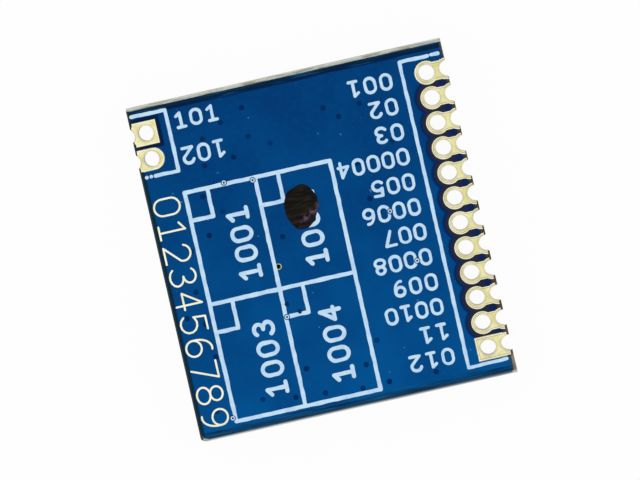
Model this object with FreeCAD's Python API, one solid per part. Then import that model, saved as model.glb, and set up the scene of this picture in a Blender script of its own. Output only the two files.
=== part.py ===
import FreeCAD, Part
import math
import os

# Radio transceiver module on a castellated circuit board, solder side up.
# X points to the pin row, Y runs along it, Z is up, and the tallest components rest on z = 0.

# Board, whose height follows from its pins
board_width = 16.1
board_end_margin = 1.515
board_thickness = 1.0
edge_skew = 0.13
corner_radius = 0.25
score_depth = 0.3
score_width = 0.13
web_burr = 0.03

# Plated holes, lands and half-holes
pin_count = 12
pin_pitch = 1.27
land_gap = 0.14
land_ring = 0.175
edge_land_ring = 0.15
neck_ring = 0.05
plating = 0.035
drill_flats = 14
pin_row_inset = 1.15
half_hole_spacing = 1.05
antenna_inset = 0.72
antenna_top_inset = 1.37
antenna_pitch = 1.31
antenna_half_hole_depth = 0.16
antenna_land_width = 1.18
ground_land_length = 1.26
ground_land_width = 1.06

# Layers on both faces
copper_thickness = 0.035
mask_thickness = 0.02
print_thickness = 0.02
mask_clearance = 0.03
mask_side_gap = 0.08
routed_edge_gap = 0.13
copper_side_gap = 0.2
copper_top_gap = 0.35
copper_clearance = 0.2
pin_zone_reach = 0.76

# Printed frames, measured to the middle of their lines
line_width = 0.2
pin_frame_offset = 1.18
pin_frame_margin = 0.78
pin_frame_end_gap = 0.31
antenna_frame_offset = 1.19
antenna_frame_above = 0.93
antenna_frame_below = 0.87
antenna_frame_end_gap = 0.12
table_left_gap = 1.93
table_top_gap = 4.67
table_bottom_gap = 0.67
table_left_column = 3.56
table_right_column = 3.81
table_lower_row = 5.96
table_box_width = 1.15
table_box_height = 1.43

# Ink mark
ink_width = 1.7
ink_height = 2.08
ink_right_of_column = 1.98
ink_below_table_top = 1.88

# Components on the other face
solder_gap = 0.03
seat_height = 0.8
component_gap = 0.4
large_length = 1.6
large_width = 0.8
large_termination = 0.35
large_toe = 0.33
small_length = 1.0
small_width = 0.5
small_height = 0.5
small_termination = 0.22
small_toe = 0.27
termination_step = 0.02
wetted_share = 0.55
land_margin = 0.03
chip_above_middle = 0.4
chip_size = 3.0
chip_side_terminals = 4
chip_pitch = 0.5
chip_terminal_length = 0.4
chip_terminal_width = 0.25
chip_terminal_height = 0.2
chip_heat_pad = 1.7
chip_toe = 0.2
crystal_length = 3.2
crystal_width = 2.5
crystal_base_height = 0.52
crystal_lid_margin = 0.16
crystal_lid_bevel = 0.05
crystal_corner_cut = 0.2
crystal_terminal_length = 0.95
crystal_terminal_width = 0.8
crystal_terminal_height = 0.06
crystal_toe = 0.25

# Heights and places worked out from the sizes above
land_height = copper_thickness + plating
film_height = copper_thickness + mask_thickness
seat = copper_thickness + solder_gap
front_z = seat + seat_height
back_z = front_z + board_thickness
land_diameter = pin_pitch - land_gap
hole_diameter = land_diameter - 2 * land_ring
hole_radius = hole_diameter / 2
edge_land_diameter = hole_diameter + 2 * edge_land_ring
neck_width = hole_diameter + 2 * neck_ring
drill_radius = hole_radius + plating
board_height = (pin_count - 1) * pin_pitch + 2 * board_end_margin
left_x = -board_width / 2
right_x = board_width / 2
top_y = board_height / 2
face_half = top_y - score_width
pin_x = right_x - pin_row_inset
half_hole_x = pin_x + half_hole_spacing
routed_x = right_x - routed_edge_gap
antenna_x = left_x + antenna_inset
signal_y = top_y - antenna_top_inset
ground_y = signal_y - antenna_pitch
antenna_half_hole_x = left_x + antenna_half_hole_depth - hole_radius
pin_ys = [(i - (pin_count - 1) / 2) * pin_pitch for i in range(pin_count)]


def box(x0, x1, y0, y1, z0, z1):
    return Part.makeBox(x1 - x0, y1 - y0, z1 - z0, FreeCAD.Vector(x0, y0, z0))


def disc(x, y, radius, z0, z1):
    return Part.makeCylinder(radius, z1 - z0, FreeCAD.Vector(x, y, z0))


def prism(points, direction):
    outline = Part.makePolygon([FreeCAD.Vector(*p) for p in points + points[:1]])
    return Part.Face(outline).extrude(FreeCAD.Vector(*direction))


# Hidden round walls repeat many times, so they are drawn with flats
def flatted(x, y, radius, z0, z1):
    turns = [2 * math.pi * (i + 0.5) / drill_flats for i in range(drill_flats)]
    return prism([(x + radius * math.cos(t), y + radius * math.sin(t), z0) for t in turns], (0, 0, z1 - z0))


def fused(shapes):
    whole = shapes[0]
    if len(shapes) > 1:
        whole = whole.multiFuse(shapes[1:])
    return whole.removeSplitter()


def save(name, shape):
    shape.exportStep("parts/" + name + ".step")


# Board outline, with the routed edge behind the pins slightly out of square
def routed_edge(y):
    return right_x - edge_skew * (y + top_y) / board_height


def outline_prism(z0, z1):
    y0 = -top_y - web_burr
    y1 = top_y + web_burr
    corners = [(left_x, y0, z0), (routed_edge(y0), y0, z0), (routed_edge(y1), y1, z0), (left_x, y1, z0)]
    return prism(corners, (0, 0, z1 - z0))


def scored_section():
    z0 = front_z
    z1 = back_z
    middle = (z0 + z1) / 2
    upper = [(face_half, z0), (top_y, z0 + score_depth), (top_y + web_burr, middle), (top_y, z1 - score_depth),
             (face_half, z1)]
    lower = [(-y, z) for y, z in reversed(upper)]
    return prism([(left_x, y, z) for y, z in upper + lower], (board_width, 0, 0))


def worn_corner():
    reach = corner_radius + web_burr
    x1 = left_x + corner_radius
    y1 = -top_y + corner_radius
    block = box(left_x - web_burr, x1, -top_y - reach, y1, front_z, back_z)
    return block.cut(disc(x1, y1, corner_radius, front_z, back_z))


def drilled_holes(radius, z0, z1):
    holes = []
    for y in pin_ys:
        holes.append(flatted(pin_x, y, radius, z0, z1))
        holes.append(flatted(half_hole_x, y, radius, z0, z1))
    for y in (signal_y, ground_y):
        holes.append(flatted(antenna_x, y, radius, z0, z1))
        holes.append(flatted(antenna_half_hole_x, y, radius, z0, z1))
    return holes


def make_board():
    board = scored_section().common(outline_prism(front_z, back_z))
    board = board.cut(worn_corner())
    return board.cut(drilled_holes(drill_radius, front_z, back_z))


# Lands: each joins the land of a hole by a neck to the land of its half-hole
def square_land(y, grow, z0, z1):
    radius = land_diameter / 2 + grow
    return box(pin_x - radius, routed_x + grow, y - radius, y + radius, z0, z1)


def waisted_land(y, grow, z0, z1, lobe=disc):
    radius = land_diameter / 2 + grow
    end = routed_x + grow
    neck = neck_width / 2 + grow
    lobes = [lobe(pin_x, y, radius, z0, z1),
             box(pin_x, end, y - neck, y + neck, z0, z1),
             lobe(half_hole_x, y, edge_land_diameter / 2 + grow, z0, z1)]
    return fused(lobes).common(box(pin_x - 2 * radius, end, y - radius, y + radius, z0, z1))


def antenna_edge_land(y, grow, z0, z1, lobe=disc):
    start = left_x + mask_side_gap - grow
    radius = edge_land_diameter / 2 + grow
    edge_land = lobe(antenna_half_hole_x, y, radius, z0, z1)
    return edge_land.common(box(start, antenna_x, y - radius, y + radius, z0, z1))


def signal_land(y, grow, z0, z1, lobe=disc):
    half = antenna_land_width / 2 + grow
    land = box(antenna_x - half, antenna_x + half, y - half, y + half, z0, z1)
    return fused([land, antenna_edge_land(y, grow, z0, z1, lobe)])


def ground_land(y, grow, z0, z1, lobe=disc):
    radius = ground_land_width / 2 + grow
    start = antenna_x - ground_land_length / 2 - grow
    middle = antenna_x + (ground_land_length - ground_land_width) / 2
    land = [box(start, middle, y - radius, y + radius, z0, z1),
            lobe(middle, y, radius, z0, z1),
            antenna_edge_land(y, grow, z0, z1, lobe)]
    return fused(land)


def front_antenna_land(y, grow, z0, z1):
    half = ground_land_width / 2 + grow
    return box(left_x + mask_side_gap - grow, antenna_x + half, y - half, y + half, z0, z1)


def back_lands(grow, z0, z1, lobe=disc):
    lands = [square_land(pin_ys[0], grow, z0, z1)]
    lands += [waisted_land(y, grow, z0, z1, lobe) for y in pin_ys[1:]]
    return lands + [signal_land(signal_y, grow, z0, z1, lobe), ground_land(ground_y, grow, z0, z1, lobe)]


def front_lands_of_pins(grow, z0, z1):
    lands = [square_land(y, grow, z0, z1) for y in pin_ys]
    return lands + [front_antenna_land(y, grow, z0, z1) for y in (signal_y, ground_y)]


# One plated pad: its land on each face and the copper sleeves of its hole and half-hole
def plated_pad(back_land, front_land, hole_x, edge_hole_x, y):
    z0 = front_z - land_height
    z1 = back_z + land_height
    sleeves = [flatted(x, y, drill_radius, front_z, back_z) for x in (hole_x, edge_hole_x)]
    sleeves[1] = sleeves[1].common(outline_prism(front_z, back_z))
    clip = box(left_x, routed_x, -top_y, top_y, z0, z1)
    ends = [front_land(y, 0, z0, front_z), back_land(y, 0, back_z, z1)]
    pad = fused([shape.common(clip) for shape in ends + sleeves])
    return pad.cut([disc(x, y, hole_radius, z0, z1) for x in (hole_x, edge_hole_x)])


def make_pads():
    for i, y in enumerate(pin_ys):
        back_land = waisted_land if i else square_land
        save("pin_pad_%02d" % (i + 1), plated_pad(back_land, square_land, pin_x, half_hole_x, y))
    for name, land, y in (("signal", signal_land, signal_y), ("ground", ground_land, ground_y)):
        pad = plated_pad(land, front_antenna_land, antenna_x, antenna_half_hole_x, y)
        save("antenna_pad_" + name, pad)


# Copper layer: one sheet that meets the ground lands and stays clear of the others
def copper_sheet(lands_of, signal_clearance, z0, z1):
    x1 = routed_x - copper_clearance
    sheet = box(left_x + copper_side_gap, x1, -face_half + copper_clearance, top_y - copper_top_gap, z0, z1)
    zone = (pin_ys[1] + pin_ys[0]) / 2
    cuts = [box(pin_x - pin_zone_reach, x1 + copper_clearance, zone, -zone, z0, z1), signal_clearance]
    return sheet.cut(cuts + lands_of(0, z0, z1))


def mask_slab(openings, z0, z1):
    side = left_x + mask_side_gap
    slab = box(side, routed_x - mask_clearance, -face_half, face_half, z0, z1)
    return slab.common(outline_prism(z0, z1)).cut(openings)


# Printed frames
def ink_line(x0, y0, x1, y1):
    z0 = back_z + film_height
    z1 = z0 + print_thickness
    half = line_width / 2
    return box(min(x0, x1) - half, max(x0, x1) + half, min(y0, y1) - half, max(y0, y1) + half, z0, z1)


def printed(lines):
    return fused([ink_line(*line) for line in lines])


def pin_frame():
    x = pin_x - pin_frame_offset
    y = pin_ys[-1] + pin_frame_margin
    end = routed_x - pin_frame_end_gap
    return printed([(x, -y, x, y), (x, y, end, y), (x, -y, end, -y)])


def antenna_frame():
    x = antenna_x + antenna_frame_offset
    end = left_x + antenna_frame_end_gap + line_width / 2
    high = signal_y + antenna_frame_above
    low = ground_y - antenna_frame_below
    return printed([(x, low, x, high), (x, high, end, high), (x, low, end, low)])


def band_table():
    x0 = left_x + table_left_gap
    y0 = -top_y + table_bottom_gap
    xm = x0 + table_left_column
    x1 = xm + table_right_column
    ym = y0 + table_lower_row
    y1 = top_y - table_top_gap
    lines = [(x0, y0, x1, y0), (x0, y1, x1, y1), (x0, y0, x0, y1), (x1, y0, x1, y1),
             (xm, y0, xm, y1), (x0, ym, x1, ym)]
    for x in (x0, xm):
        for y in (ym, y1):
            lines.append((x + table_box_width, y - table_box_height, x + table_box_width, y))
            lines.append((x, y - table_box_height, x + table_box_width, y - table_box_height))
    return printed(lines)


# Marker ink, a drop that dried over one corner of the table
def ink_drop(table):
    x = left_x + table_left_gap + table_left_column + ink_right_of_column
    y = top_y - table_top_gap - ink_below_table_top
    z0 = back_z + film_height
    tip = FreeCAD.Vector(x, y + ink_height / 2, z0)
    side = FreeCAD.Vector(x + ink_width / 2, y, z0)
    edge = Part.Ellipse(tip, side, FreeCAD.Vector(x, y, z0))
    drop = Part.Face(Part.Wire(edge.toShape())).extrude(FreeCAD.Vector(0, 0, print_thickness))
    return drop.cut(table)


# Component side: each component is built upright on the face, then turned over to its place
def turned_over(shape, x, y, angle):
    flip = FreeCAD.Rotation(FreeCAD.Vector(1, 0, 0), 180)
    turn = FreeCAD.Rotation(FreeCAD.Vector(0, 0, 1), angle)
    place = FreeCAD.Placement(FreeCAD.Vector(x, y, front_z), flip.multiply(turn))
    placed = shape.copy()
    placed.Placement = place.multiply(shape.Placement)
    return placed


def turned(shape, angle):
    shape.rotate(FreeCAD.Vector(0, 0, 0), FreeCAD.Vector(0, 0, 1), angle)
    return shape


# Solder under a termination, rising in a fillet up its end face
def solder_foot(inner, end, toe, wetted, width):
    outer = end + toe
    section = [(inner, copper_thickness), (outer, copper_thickness), (end, seat + wetted), (end, seat),
               (inner, seat)]
    return prism([(u, -width / 2, z) for u, z in section], (0, width, 0))


lands = []
openings = []
solder = []


# Rectangle of a component's footprint, from the face to the given height
def patch(place, side_angle, x0, x1, y0, y1, z1):
    return turned_over(turned(box(x0, x1, y0, y1, 0, z1), side_angle), *place)


# A joint is a land with its solder
def add_joint(place, side_angle, offset, inner, end, toe, wetted, width):
    half = width / 2 + land_margin
    lands.append(patch(place, side_angle, inner - land_margin, end + toe, offset - half, offset + half,
                       copper_thickness))
    foot = solder_foot(inner, end, toe, wetted, width)
    foot.translate(FreeCAD.Vector(0, offset, 0))
    solder.append(turned_over(turned(foot, side_angle), *place))


# The film is open over the lands, and the copper sheet is cleared round each group of parts
def open_film(place, side_angle, offset, inner, end, half):
    g = mask_clearance
    y0 = offset - half - g
    y1 = offset + half + g
    openings.append(patch(place, side_angle, inner - g, end + g, y0, y1, film_height))


def cleared_area(group):
    b = Part.Compound(group).BoundBox
    g = copper_clearance
    return box(b.XMin - g, b.XMax + g, b.YMin - g, b.YMax + g, front_z - copper_thickness, front_z)


# Two-ended ceramic component, with terminations that stand a little proud of its body
def two_ended(length, width, height, termination):
    step = termination_step
    body = box(-length / 2 + step, length / 2 - step, -width / 2 + step, width / 2 - step,
               seat + step, seat + height - step)
    end = box(length / 2 - termination, length / 2, -width / 2, width / 2, seat, seat + height)
    other = end.mirror(FreeCAD.Vector(0, 0, 0), FreeCAD.Vector(1, 0, 0))
    return fused([body, end, other])


def add_two_ended(name, large, x, y, angle):
    if large:
        sizes = (large_length, large_width, seat_height, large_termination)
        toe = large_toe
    else:
        sizes = (small_length, small_width, small_height, small_termination)
        toe = small_toe
    length, width, height, termination = sizes
    place = (x, y, angle)
    save(name, turned_over(two_ended(*sizes), *place))
    inner = length / 2 - termination
    half = width / 2 + land_margin
    for side in (0, 180):
        add_joint(place, side, 0, inner, length / 2, toe, wetted_share * height, width)
        open_film(place, side, 0, inner - land_margin, length / 2 + toe, half)


# Transceiver chip: moulded body over a lead frame of side terminals and a heat pad
def add_chip(x, y):
    half = chip_size / 2
    inner = half - chip_terminal_length
    pad = chip_heat_pad / 2
    w = chip_terminal_width / 2
    row = (chip_side_terminals - 1) / 2 * chip_pitch
    place = (x, y, 0)
    frame = [box(-pad, pad, -pad, pad, seat, seat + chip_terminal_height)]
    for side in (0, 90, 180, 270):
        for i in range(chip_side_terminals):
            offset = i * chip_pitch - row
            terminal = box(inner, half, offset - w, offset + w, seat, seat + chip_terminal_height)
            frame.append(turned(terminal, side))
            add_joint(place, side, offset, inner, half, chip_toe, wetted_share * chip_terminal_height,
                      chip_terminal_width)
        open_film(place, side, 0, inner - land_margin, half + chip_toe, row + w + land_margin)
    lands.append(patch(place, 0, -pad, pad, -pad, pad, copper_thickness))
    openings.append(patch(place, 0, -pad, pad, -pad, pad, film_height))
    solder.append(turned_over(box(-pad, pad, -pad, pad, copper_thickness, seat), *place))
    body = box(-half, half, -half, half, seat, seat + seat_height).cut(frame)
    save("rf_chip_body", turned_over(body, *place))
    save("rf_chip_leadframe", turned_over(Part.Compound(frame), *place))


# Reference crystal: ceramic base with cut corners, four terminals under it and a metal lid
def add_crystal(x, y):
    place = (x, y, 0)
    u = crystal_length / 2
    v = crystal_width / 2
    cut = crystal_corner_cut
    top = seat + seat_height
    base_top = seat + crystal_base_height
    corners = [(u, v - cut), (u - cut, v), (cut - u, v), (-u, v - cut),
               (-u, cut - v), (cut - u, -v), (u - cut, -v), (u, cut - v)]
    base = prism([(cx, cy, seat) for cx, cy in corners], (0, 0, crystal_base_height))
    terminals = []
    inner = u - crystal_terminal_length
    width = crystal_terminal_width - cut
    middle = v - cut - width / 2
    for side in (0, 180):
        for y0, y1, offset in ((-v, -v + crystal_terminal_width, -middle), (v - crystal_terminal_width, v, middle)):
            terminal = box(inner, u, y0, y1, seat, seat + crystal_terminal_height)
            terminals.append(turned(terminal, side).common(base))
            add_joint(place, side, offset, inner, u, crystal_toe, crystal_terminal_height, width)
            open_film(place, side, offset, inner - land_margin, u + crystal_toe, width / 2 + land_margin)
    m = crystal_lid_margin
    lid = box(-u + m, u - m, -v + m, v - m, base_top, top)
    rim = [edge for edge in lid.Edges if edge.BoundBox.ZMin > top - crystal_lid_bevel]
    lid = lid.makeChamfer(crystal_lid_bevel, rim)
    save("crystal_base", turned_over(base.cut(terminals), *place))
    save("crystal_lid", turned_over(lid, *place))
    save("crystal_terminals", turned_over(Part.Compound(terminals), *place))


# Columns of parts share out the width between the free edge and the pin lands
def column_places(widths):
    start = left_x
    room = pin_x - land_diameter / 2 - start
    gap = (room - sum(widths)) / (len(widths) + 1)
    places = []
    for width in widths:
        places.append(start + gap + width / 2)
        start += gap + width
    return places


def add_components():
    gap = component_gap
    large_reach = large_length / 2 + large_toe
    small_reach = small_length / 2 + small_toe
    chip_reach = chip_size / 2 + chip_toe
    places = column_places([small_width, large_width, 2 * large_reach, 2 * chip_reach, small_width, small_width])
    shunt_x, filter_x, match_x, chip_x, supply_x, supply_end_x = places
    chip_y = chip_above_middle
    groups = [0]

    # Harmonic filter, which runs down two upright columns from the antenna pads
    antenna_land_end = antenna_x + antenna_land_width / 2
    add_two_ended("capacitor_06", False, antenna_land_end + gap + small_reach, signal_y, 0)
    groups.append(len(lands))
    y = signal_y - small_width / 2 - gap - large_width / 2
    add_two_ended("inductor_06", True, antenna_land_end + gap + large_reach, y, 0)
    groups.append(len(lands))
    y -= large_width / 2 + gap + large_reach
    add_two_ended("inductor_05", True, filter_x, y, 90)
    add_two_ended("capacitor_05", False, shunt_x, y, 90)
    groups.append(len(lands))
    y -= 2 * large_reach + gap
    add_two_ended("inductor_04", True, filter_x, y, 90)
    add_two_ended("capacitor_04", False, shunt_x, y, 90)
    groups.append(len(lands))
    y -= large_reach + gap + small_reach
    add_two_ended("capacitor_03", False, filter_x, y, 90)
    groups.append(len(lands))

    # Matching parts in rows beside the chip
    add_chip(chip_x, chip_y)
    groups.append(len(lands))
    row = large_width + gap
    y = chip_y - row
    for name, large in (("capacitor_01", False), ("inductor_02", True), ("inductor_01", True),
                        ("inductor_03", True), ("capacitor_02", False)):
        add_two_ended(name, large, match_x, y, 0)
        y += row
    groups.append(len(lands))

    # Supply and pull-up parts on the pin side of the chip
    step = small_reach + gap / 2
    add_two_ended("capacitor_07", False, supply_x, chip_y + step, 90)
    add_two_ended("resistor_01", False, supply_x, chip_y - step, 90)
    add_two_ended("capacitor_08", False, supply_end_x, chip_y + step, 90)
    add_two_ended("capacitor_09", False, supply_end_x, chip_y - step, 90)
    y = chip_y + step + small_reach + gap + large_width / 2
    add_two_ended("capacitor_10", True, (supply_x + supply_end_x) / 2, y, 0)
    groups.append(len(lands))
    add_two_ended("capacitor_11", False, chip_x, chip_y + chip_reach + gap + small_width / 2, 0)
    groups.append(len(lands))

    # Crystal below the chip, between its load capacitors
    y = chip_y - chip_reach - gap - crystal_width / 2
    add_crystal(chip_x, y)
    beside = crystal_length / 2 + crystal_toe + gap + small_width / 2
    add_two_ended("capacitor_12", False, chip_x - beside, y, 90)
    add_two_ended("capacitor_13", False, chip_x + beside, y, 90)
    groups.append(len(lands))
    return [cleared_area(lands[start:end]) for start, end in zip(groups, groups[1:])]


os.makedirs("parts", exist_ok=True)
save("circuit_board", make_board())
make_pads()
cleared = add_components()

z0 = back_z
z1 = z0 + film_height
clearance = signal_land(signal_y, copper_clearance, z0, z1)
copper_back = copper_sheet(back_lands, clearance, z0, z0 + copper_thickness)
save("copper_back", copper_back)
save("solder_mask_back", mask_slab(back_lands(mask_clearance, z0, z1, flatted), z0, z1).cut(copper_back))
z0 = front_z - film_height
z1 = front_z
clearance = front_antenna_land(signal_y, copper_clearance, z0, z1)
copper_front = copper_sheet(front_lands_of_pins, clearance, z1 - copper_thickness, z1).cut(cleared)
save("copper_front", copper_front)
openings += front_lands_of_pins(mask_clearance, z0, z1)
save("solder_mask_front", mask_slab(openings, z0, z1).cut(copper_front))
save("front_lands", Part.Compound(lands))
save("solder_joints", Part.Compound(solder))

table = band_table()
save("print_pin_frame", pin_frame())
save("print_antenna_frame", antenna_frame())
save("print_band_table", table)
save("ink_mark", ink_drop(table))
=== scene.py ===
import bpy
import math
import numpy as np
from mathutils import Matrix, Vector, geometry, noise


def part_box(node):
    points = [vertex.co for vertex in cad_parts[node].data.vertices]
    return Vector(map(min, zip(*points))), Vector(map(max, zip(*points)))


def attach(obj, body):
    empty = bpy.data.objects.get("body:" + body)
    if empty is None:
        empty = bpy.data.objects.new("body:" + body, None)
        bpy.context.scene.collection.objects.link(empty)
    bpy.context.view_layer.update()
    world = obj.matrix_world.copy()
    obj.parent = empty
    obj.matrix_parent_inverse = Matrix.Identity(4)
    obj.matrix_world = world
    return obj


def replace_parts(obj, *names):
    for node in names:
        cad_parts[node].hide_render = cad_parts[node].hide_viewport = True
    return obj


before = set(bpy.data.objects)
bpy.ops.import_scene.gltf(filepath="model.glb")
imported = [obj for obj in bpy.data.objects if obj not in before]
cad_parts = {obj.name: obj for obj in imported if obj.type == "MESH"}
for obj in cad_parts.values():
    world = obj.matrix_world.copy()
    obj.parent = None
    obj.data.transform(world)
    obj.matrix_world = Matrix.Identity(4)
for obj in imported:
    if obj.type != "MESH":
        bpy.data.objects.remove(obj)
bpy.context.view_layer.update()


# Laminate. The board is woven glass cloth in epoxy, scored along its short edges and snapped off its
# panel there, and routed along the other two. Its cut edges show the plies and broken fibres.

class Value:
    """A socket of a finish, which can be used in a sum."""

    def __init__(self, finish, socket):
        self.finish = finish
        self.socket = socket

    def math(self, operation, first, second=0.0):
        return self.finish.node("Math", {"operation": operation}, {0: first, 1: second})

    def __add__(self, other):
        return self.math("ADD", self, other)

    def __sub__(self, other):
        return self.math("SUBTRACT", self, other)

    def __mul__(self, other):
        return self.math("MULTIPLY", self, other)

    def __radd__(self, other):
        return self.math("ADD", other, self)

    def __rsub__(self, other):
        return self.math("SUBTRACT", other, self)

    def __rmul__(self, other):
        return self.math("MULTIPLY", other, self)

    def __abs__(self):
        return self.math("ABSOLUTE", self)

    def least(self, other):
        return self.math("MINIMUM", self, other)

    def rise(self, start, end):
        """0 at start, 1 at end and smooth between them, whichever of the two is higher."""
        settings = {"interpolation_type": "SMOOTHSTEP"}
        return self.finish.node("MapRange", settings, {0: self, 1: start, 2: end, 3: 0.0, 4: 1.0})

    def shades(self, dark, light):
        """A colour that wanders between two, as this grain does."""
        return self.finish.blend(self.rise(0.3, 0.7), dark, light)


class Finish:
    """A material or a world under construction, with the numbers that are the same all over it."""

    def __init__(self, name, library=bpy.data.materials, shader="Principled BSDF", **constants):
        self.look = library.new(name)
        self.look.use_nodes = True
        self.tree = self.look.node_tree
        self.skin = self.tree.nodes[shader]
        self.feed(**constants)

    def node(self, kind, settings, inputs, output=0):
        made = self.tree.nodes.new("ShaderNode" + kind)
        for name, value in settings.items():
            setattr(made, name, value)
        for name, value in inputs.items():
            self.plug(value, made.inputs[name])
        return Value(self, made.outputs[output])

    def plug(self, value, socket):
        if isinstance(value, Value):
            self.tree.links.new(value.socket, socket)
        else:
            socket.default_value = value

    def feed(self, **inputs):
        for name, value in inputs.items():
            self.plug(value, self.skin.inputs[name.replace("_", " ")])

    def place(self, scale=(1, 1, 1)):
        """The point on the object in millimetres, stretched by scale."""
        point = self.node("TexCoord", {}, {}, "Object")
        factors = [1000 * factor for factor in scale]
        return self.node("VectorMath", {"operation": "MULTIPLY"}, {0: point, 1: factors})

    def axes(self):
        """The same point as three values, x, y and z."""
        split = self.node("SeparateXYZ", {}, {0: self.place()})
        return [Value(self, socket) for socket in split.socket.node.outputs]

    def grain(self, scale, stretch=(1, 1, 1), detail=3.0):
        return self.node("TexNoise", {}, {"Vector": self.place(stretch), "Scale": scale, "Detail": detail})

    def blend(self, factor, first, second):
        return self.node("Mix", {"data_type": "RGBA"}, {0: factor, 6: first, 7: second}, 2)

    def relief(self, height, depth):
        """Bump of the given depth in millimetres."""
        self.feed(Normal=self.node("Bump", {}, {"Distance": depth / 1000, "Height": height}, "Normal"))


def tint(red, green, blue):
    """A colour as it looks on a screen, turned into light."""
    shares = [level / 255 for level in (red, green, blue)]
    return [s / 12.92 if s <= 0.04045 else ((s + 0.055) / 1.055) ** 2.4 for s in shares] + [1.0]


def dress(finish, *nodes):
    for node in nodes:
        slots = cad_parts[node].data.materials
        slots.clear()
        slots.append(finish.look)


board_low, board_high = [1000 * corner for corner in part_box("circuit_board")]
face, other_face = board_high.z, board_low.z
middle = (other_face + face) / 2
score_start, score_end, board_end = 8.3, 8.34, 8.5

epoxy = Finish("glass_epoxy", Roughness=0.62, Specular_IOR_Level=0.3)
at_x, at_y, at_z = epoxy.axes()
upper_half = at_z.rise(middle, face - 0.1)
plies = epoxy.grain(1.0, (0.35, 0.35, 16.0), 2.0)
fibres = epoxy.grain(3.0, (1.0, 1.0, 0.6), 6.0)
resin_patches = epoxy.grain(0.9, (0.8, 1, 3)).rise(0.5, 0.68)
dashes = epoxy.grain(1.0, (0.9, 5, 5), 2.0).rise(0.5, 0.6) * upper_half
broken = epoxy.blend(plies.rise(0.38, 0.62), tint(158, 172, 158), tint(200, 210, 198))
broken = epoxy.blend(fibres.rise(0.5, 0.72) * 0.55, broken, tint(226, 230, 220))
broken = epoxy.blend(resin_patches * 0.3, broken, tint(152, 146, 124))
broken = epoxy.blend(abs(at_y).rise(8.4, board_end) * 0.7, broken, tint(232, 234, 226))
broken = epoxy.blend(dashes * 0.75, broken, tint(134, 122, 94))
# Bottom bevel: a dark blue stain next to the film, then an outer line painted pale, as painted light where
# the bevel faces away from the lamp; paler towards the left.
painted_light_outermost = epoxy.blend(at_x.rise(-2, 6), tint(214, 226, 228), tint(150, 156, 160))
stained_and_painted_light = epoxy.blend(at_y.rise(-8.4, -board_end), tint(40, 62, 80), painted_light_outermost)
beside_film = at_x.rise(-7.8, -7.6) * at_x.rise(7.85, 7.75)
at_foot = at_y.rise(-score_start, -score_end) * beside_film * upper_half
broken = epoxy.blend(at_foot, broken, stained_and_painted_light)

milled_plies = plies.rise(0.4, 0.7)
# Between the half-holes the milled edge is painted darker, as painted shade of the walls there.
painted_shade_between_pads = abs(at_y).rise(7.7, 7.5) * at_x.rise(7.0, 7.5)
milled = epoxy.blend(milled_plies, tint(104, 98, 80), tint(150, 144, 124))
milled = epoxy.blend(painted_shade_between_pads, milled, epoxy.blend(milled_plies, tint(58, 48, 34), tint(96, 84, 62)))
colour = epoxy.blend(abs(at_y).rise(score_start, score_end), milled, broken)
torn = abs(at_z - middle).rise(0.26, 0.16) * abs(at_y).rise(8.44, board_end)
torn = torn * epoxy.grain(1.6, (0.6, 1, 3)).rise(0.3, 0.7)
colour = epoxy.blend(torn * 0.8, colour, tint(160, 156, 134))
# Painted shadow of the film's edge, along the top of the left wall.
painted_film_shadow = at_x.rise(-7.92, -7.95) * at_z.rise(face - 0.03, face - 0.01)
colour = epoxy.blend(painted_film_shadow, colour, tint(42, 58, 62))
epoxy.feed(Base_Color=colour)
epoxy.relief(plies + fibres, 0.03)
dress(epoxy, "circuit_board")


# Copper and its plating. Foil is etched on both faces, and what the lacquer leaves open is plated with
# nickel and a thin pale gold, as are the walls of the holes.

gold = Finish("pale_gold_plating", Metallic=1.0)
at_x, _, at_z = gold.axes()
cloud = gold.grain(2.0, detail=4.0)
speck = gold.grain(14.0, detail=2.0)
neck = at_x.rise(7.2, 7.4) * at_x.rise(7.8, 7.6)
yellower = neck + at_x.rise(-6.0, -6.2) * 0.8
dark = gold.blend(yellower, tint(216, 209, 158), tint(214, 209, 138))
light = gold.blend(yellower, tint(244, 239, 201), tint(236, 232, 177))
colour = gold.blend(speck.rise(0.55, 0.75) * 0.35, cloud.shades(dark, light), tint(232, 227, 193))
# Painted shade: the gold of the hole walls darkens with depth.
painted_shade_down_the_hole = at_z.rise(face, face - 0.25)
colour = gold.blend(painted_shade_down_the_hole * 0.5, colour, tint(146, 125, 61))
gold.feed(Base_Color=colour, Roughness=0.34 + 0.16 * cloud)
gold.relief(speck, 0.004)
pads = ["pin_pad_%02d" % number for number in range(1, 13)] + ["antenna_pad_signal", "antenna_pad_ground"]
dress(gold, "copper_back", "copper_front", "front_lands", "crystal_terminals", *pads)


# Plating beads. Plating builds up a little at the rim of every hole and land, so each land carries a
# low polished bead along its edge, its gold painted lighter as a highlight of the rim, with a darker line
# beside it that is painted shade. Two thin films of gold, laid on the lands.

pin_pitch, pin_count = 1.27, 12
rows = [(i - (pin_count - 1) / 2) * pin_pitch for i in range(pin_count)]
pin_x, half_hole_x, routed_x, hole_radius = 6.9, 7.95, 7.92, 0.39
antenna_x, antenna_edge_x, signal_y, ground_y = -7.33, -8.28, 7.13, 5.82
left_edge = -7.97
land_half, edge_land_radius, neck_half = 0.565, 0.54, 0.44
signal_half, ground_half, ground_start, ground_round = 0.59, 0.53, 0.63, antenna_x + 0.1
bead_height, line_height = 0.003, 0.001


def circle(x, y, radius, count=48):
    turns = [2 * math.pi * i / count for i in range(count)]
    return [(x + radius * math.cos(t), y + radius * math.sin(t)) for t in turns]


def rectangle(x0, x1, y0, y1):
    return [(x0, y0), (x1, y0), (x1, y1), (x0, y1)]


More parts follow.
